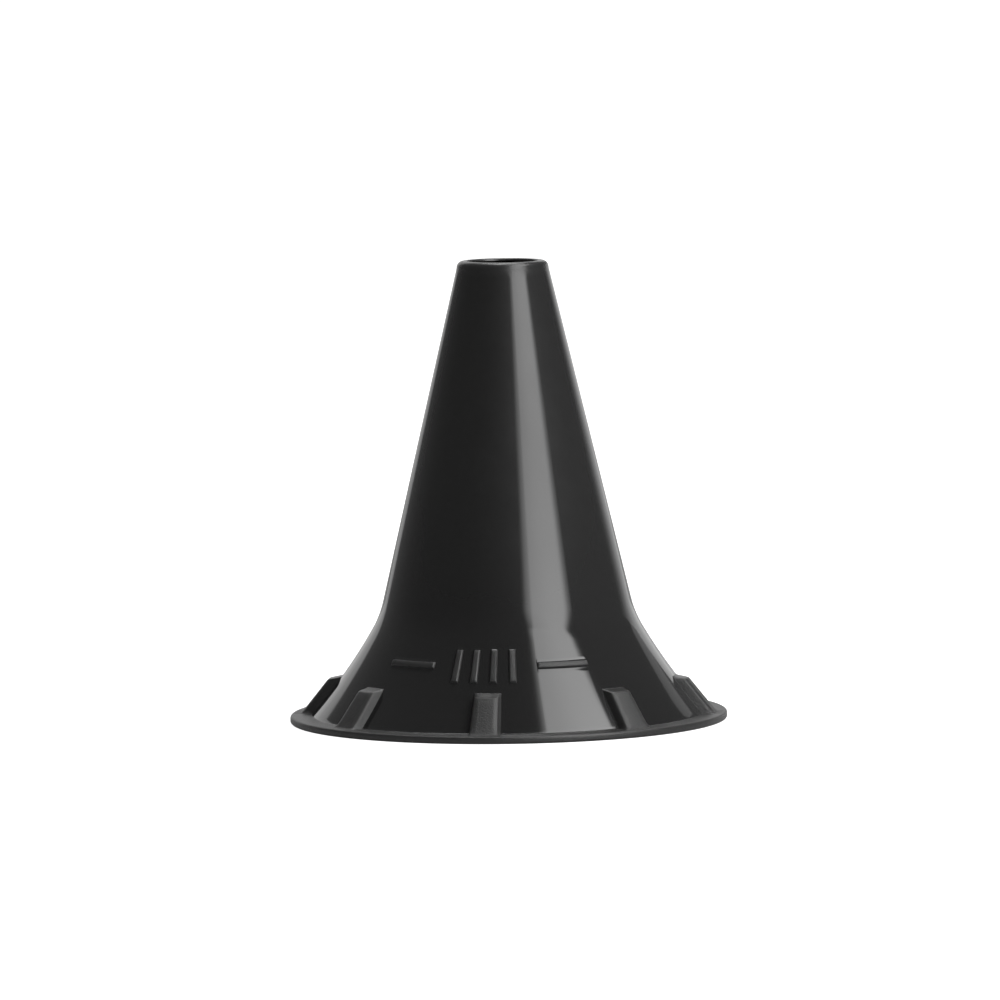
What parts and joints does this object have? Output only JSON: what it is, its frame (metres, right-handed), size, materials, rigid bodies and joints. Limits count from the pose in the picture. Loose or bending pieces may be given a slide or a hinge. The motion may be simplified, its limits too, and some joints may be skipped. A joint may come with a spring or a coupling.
{
  "type": "ear speculum",
  "caption": "Reusable ear speculum for an otoscope: a thin black funnel with a narrow rounded tip, a flared mouth with finger ribs and a flat rim flange.",
  "frame": {"origin": "centre of the mouth's flat rim, the face that the speculum stands on", "axes": "+Z along the funnel's axis from the wide mouth to the narrow tip, -Y towards the raised size code"},
  "size_m": [0.025, 0.025, 0.0263],
  "materials": {
    "black_plastic": "polished moulded black plastic on the cone, fine satin spark-eroded texture on the ribs, the raised code and the flange"
  },
  "bodies": {
    "root": {"ear_speculum": "black_plastic"}
  },
  "joints": []
}
